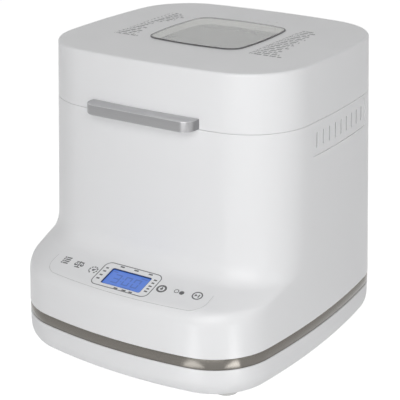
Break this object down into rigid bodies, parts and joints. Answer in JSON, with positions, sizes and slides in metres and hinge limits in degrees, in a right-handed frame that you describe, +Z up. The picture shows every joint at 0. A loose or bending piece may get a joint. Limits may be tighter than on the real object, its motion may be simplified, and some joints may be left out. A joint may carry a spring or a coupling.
{
  "type": "bread machine",
  "caption": "Countertop bread machine: drafted white tower with a forward control deck, a hinged lid with a window, a lift-out pan with bail, and a belt-driven kneader.",
  "frame": {"origin": "centre of the footprint's box on the surface that the feet stand on", "axes": "+Z up, +Y towards the back, +X to the right seen from the front"},
  "size_m": [0.29, 0.3164, 0.3],
  "materials": {
    "white_plastic": "glossy moulded",
    "tub_plastic": "glossy moulded",
    "band_metal": "dark nickel, polished",
    "handle_metal": "brushed",
    "foot_rubber": "matt",
    "chamber_steel": "satin sheet",
    "plain_steel": "plain",
    "heater_steel": "dull heat-coloured",
    "pan_coating": "dark non-stick coating",
    "bronze": "sintered",
    "copper_wire": "enamelled winding",
    "dark_plastic": "moulded",
    "inner_plastic": "moulded",
    "belt_rubber": "moulded",
    "seal_silicone": "silicone",
    "red_silicone": "silicone",
    "gasket_rubber": "silicone",
    "board_green": "fibreglass laminate",
    "display_blue": "backlit blue filter",
    "overlay_film": "printed film",
    "clear_glass": "clear, polished",
    "winding_case": "moulded"
  },
  "bodies": {
    "root": {"outer_housing": "white_plastic", "vent_grilles": "white_plastic", "base_tub": "tub_plastic", "trim_band": "band_metal", "rubber_feet": "foot_rubber", "chamber_collar": "inner_plastic", "baking_chamber": "chamber_steel", "heat_shield": "plain_steel", "heating_element": "heater_steel", "heater_clips": "plain_steel", "temperature_sensor": "plain_steel", "thermal_fuse": "plain_steel", "pan_seat": "plain_steel", "chassis_plate": "plain_steel", "chassis_posts": "inner_plastic", "bearing_housing": "plain_steel", "drive_bushes": "bronze", "motor_stator": "plain_steel", "motor_windings": "copper_wire", "motor_end_caps": "plain_steel", "motor_bracket": "plain_steel", "motor_capacitor": "winding_case", "drive_belt": "belt_rubber", "power_board": "board_green", "transformer": "dark_plastic", "relay": "dark_plastic", "terminal_block": "inner_plastic", "control_board": "board_green", "lcd_module": "inner_plastic", "display_window": "display_blue", "control_overlay": "overlay_film", "touch_springs": "plain_steel", "cord_gland": "dark_plastic", "hinge_brackets": "white_plastic", "hinge_pins": "plain_steel", "casing_screws": "plain_steel"},
    "lid": {"lid_shell": "white_plastic", "lid_liner": "chamber_steel", "window_glass": "clear_glass", "inner_glass": "clear_glass", "window_gasket": "gasket_rubber", "lid_handle": "handle_metal", "lid_screws": "plain_steel", "hinge_leaves": "white_plastic", "lid_seal": "seal_silicone"},
    "pan": {"bread_pan": "pan_coating", "pan_base_ring": "plain_steel", "pan_bush": "bronze", "shaft_seal": "red_silicone", "bail_pivots": "plain_steel"},
    "bail": {"bail_handle": "plain_steel", "bail_grip": "dark_plastic"},
    "kneader": {"kneading_paddle": "pan_coating", "paddle_shaft": "plain_steel", "pan_coupling": "dark_plastic"},
    "drive": {"drive_shaft": "plain_steel", "drive_coupling": "dark_plastic", "drive_pulley": "dark_plastic"},
    "rotor": {"motor_rotor": "plain_steel", "motor_pulley": "plain_steel"}
  },
  "joints": [
    {"name": "lid_hinge", "type": "hinge", "parent": "root", "child": "lid", "pos_m": [0, 0.15352, 0.2424], "axis": [-1, 0, 0], "range_deg": [0, 80]},
    {"name": "pan_lift", "type": "slide", "parent": "root", "child": "pan", "axis": [0, 0, 1], "range_m": [0, 0.01]},
    {"name": "bail_swing", "type": "hinge", "parent": "pan", "child": "bail", "pos_m": [0, 0.0343, 0.194], "axis": [1, 0, 0], "range_deg": [0, 180]},
    {"name": "drive_spin", "type": "hinge", "parent": "root", "child": "drive", "pos_m": [0, 0.0343, 0.02], "axis": [0, 0, 1], "continuous": true},
    {"name": "kneader_spin", "type": "hinge", "parent": "pan", "child": "kneader", "pos_m": [0, 0.0343, 0.07], "axis": [0, 0, 1], "continuous": true},
    {"name": "motor_spin", "type": "hinge", "parent": "root", "child": "rotor", "pos_m": [0.074, -0.0987, 0.02], "axis": [0, 0, 1], "continuous": true}
  ],
  "couplings": [
    {"joint": "kneader_spin", "follows": "drive_spin", "ratio": 1},
    {"joint": "motor_spin", "follows": "drive_spin", "ratio": 5}
  ]
}
